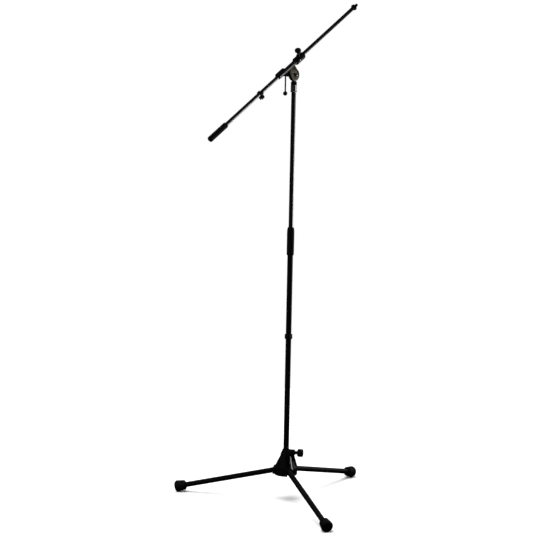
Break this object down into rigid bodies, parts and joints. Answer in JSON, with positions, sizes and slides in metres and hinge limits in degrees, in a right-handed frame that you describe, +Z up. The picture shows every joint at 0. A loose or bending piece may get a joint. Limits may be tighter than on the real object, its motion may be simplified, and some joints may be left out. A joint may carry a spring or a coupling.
{
  "type": "boom microphone stand",
  "caption": "Floor stand with a folding tripod, a two-stage clutch column and a tilting, sliding boom ending in a threaded stud.",
  "frame": {"origin": "on the floor, on the axis of the column", "axes": "+Z up the column, +X the level direction the boom's threaded end points in, the side plate of the clamp faces -Y"},
  "size_m": [0.7795, 0.665, 1.641],
  "materials": {
    "paint": "semi-gloss",
    "hub_paint": "satin, fine grain",
    "plastic": "matte",
    "gloss_plastic": "gloss",
    "rubber": "matte",
    "chrome": "polished",
    "steel": "turned",
    "gunmetal": "satin metallic"
  },
  "bodies": {
    "base": {"base_hub": "hub_paint", "leg_pins": "paint"},
    "base_knob": {"base_knob": "plastic", "base_knob_screw": "steel"},
    "leg_1": {"leg_1_tube": "paint", "leg_1_lever": "plastic", "leg_1_foot": "rubber"},
    "leg_2": {"leg_2_tube": "paint", "leg_2_lever": "plastic", "leg_2_foot": "rubber"},
    "leg_3": {"leg_3_tube": "paint", "leg_3_lever": "plastic", "leg_3_foot": "rubber"},
    "column": {"lower_tube": "paint", "column_spool": "plastic", "clutch_collar": "plastic", "clutch_collet": "plastic"},
    "column_clip": {"column_clip": "plastic"},
    "clutch": {"clutch_grip": "rubber"},
    "riser": {"guide_bush": "plastic"},
    "mast": {"upper_tube": "paint", "mast_stud": "chrome", "stem_coupler": "chrome", "stem_lug": "paint", "friction_discs": "steel"},
    "lock_ring": {"lock_ring": "chrome"},
    "tilt_screw": {"tilt_screw": "chrome", "tilt_washer": "paint", "tilt_boss": "plastic"},
    "tee_bar": {"tee_rod": "gunmetal", "tee_balls": "gloss_plastic"},
    "boom_clamp": {"clamp_body": "hub_paint", "clamp_plate": "gunmetal", "clamp_collar": "plastic", "clamp_rivets": "chrome"},
    "clamp_knob": {"clamp_knob": "plastic", "clamp_screw": "steel"},
    "boom": {"boom_tube": "paint", "boom_grip": "rubber", "boom_stud": "chrome"},
    "boom_clip": {"boom_clip": "plastic"},
    "boom_nut": {"boom_nut": "paint"}
  },
  "joints": [
    {"name": "column_drop", "type": "slide", "parent": "base", "child": "column", "axis": [0, 0, 1], "range_m": [-0.02905, 0]},
    {"name": "base_knob_turn", "type": "hinge", "parent": "base", "child": "base_knob", "pos_m": [0, 0, 0.159], "axis": [0.5, -0.866, 0], "range_deg": [-360, 0]},
    {"name": "leg_1_fold", "type": "hinge", "parent": "base", "child": "leg_1", "pos_m": [0.036, 0, 0.0975], "axis": [0, -1, 0], "range_deg": [-0.05, 103.59]},
    {"name": "leg_2_fold", "type": "hinge", "parent": "base", "child": "leg_2", "pos_m": [-0.018, 0.03118, 0.0975], "axis": [0.866, 0.5, 0], "range_deg": [-0.05, 103.59]},
    {"name": "leg_3_fold", "type": "hinge", "parent": "base", "child": "leg_3", "pos_m": [-0.018, -0.03118, 0.0975], "axis": [-0.866, 0.5, 0], "range_deg": [-0.05, 103.59]},
    {"name": "column_clip_slide", "type": "slide", "parent": "column", "child": "column_clip", "axis": [0, 0, 1], "range_m": [-0.3, 0.255]},
    {"name": "clutch_twist", "type": "hinge", "parent": "column", "child": "clutch", "pos_m": [0, 0, 0.8635], "axis": [0, 0, 1], "range_deg": [0, 120]},
    {"name": "height_slide", "type": "slide", "parent": "column", "child": "riser", "axis": [0, 0, 1], "range_m": [-0.42, 0.2]},
    {"name": "mast_swivel", "type": "hinge", "parent": "riser", "child": "mast", "pos_m": [0, 0, 0.56], "axis": [0, 0, 1], "continuous": true},
    {"name": "lock_ring_turn", "type": "hinge", "parent": "mast", "child": "lock_ring", "pos_m": [0, 0, 1.3476], "axis": [0, 0, 1], "range_deg": [0, 180]},
    {"name": "tilt_screw_turn", "type": "hinge", "parent": "mast", "child": "tilt_screw", "pos_m": [0, 0, 1.4], "axis": [0, 1, 0], "range_deg": [-180, 0]},
    {"name": "tee_bar_slide", "type": "slide", "parent": "tilt_screw", "child": "tee_bar", "axis": [0, 0, 1], "range_m": [0, 0.0468]},
    {"name": "boom_tilt", "type": "hinge", "parent": "mast", "child": "boom_clamp", "pos_m": [0, 0, 1.4], "axis": [0, -1, 0], "range_deg": [-121, 59]},
    {"name": "clamp_knob_turn", "type": "hinge", "parent": "boom_clamp", "child": "clamp_knob", "pos_m": [0.02022, 0, 1.45275], "axis": [-0.4898, -0.309, 0.8152], "range_deg": [0, 360]},
    {"name": "boom_slide", "type": "slide", "parent": "boom_clamp", "child": "boom", "axis": [0.8572, 0, 0.515], "range_m": [-0.3, 0.085]},
    {"name": "boom_clip_slide", "type": "slide", "parent": "boom", "child": "boom_clip", "axis": [0.8572, 0, 0.515], "range_m": [-0.16, 0]},
    {"name": "boom_nut_turn", "type": "hinge", "parent": "boom", "child": "boom_nut", "pos_m": [0.31033, 0, 1.62706], "axis": [0.8572, 0, 0.515], "range_deg": [0, 360]}
  ],
  "couplings": [
    {"joint": "leg_1_fold", "follows": "column_drop", "rad_per_m": -62.2},
    {"joint": "leg_2_fold", "follows": "column_drop", "rad_per_m": -62.2},
    {"joint": "leg_3_fold", "follows": "column_drop", "rad_per_m": -62.2}
  ]
}
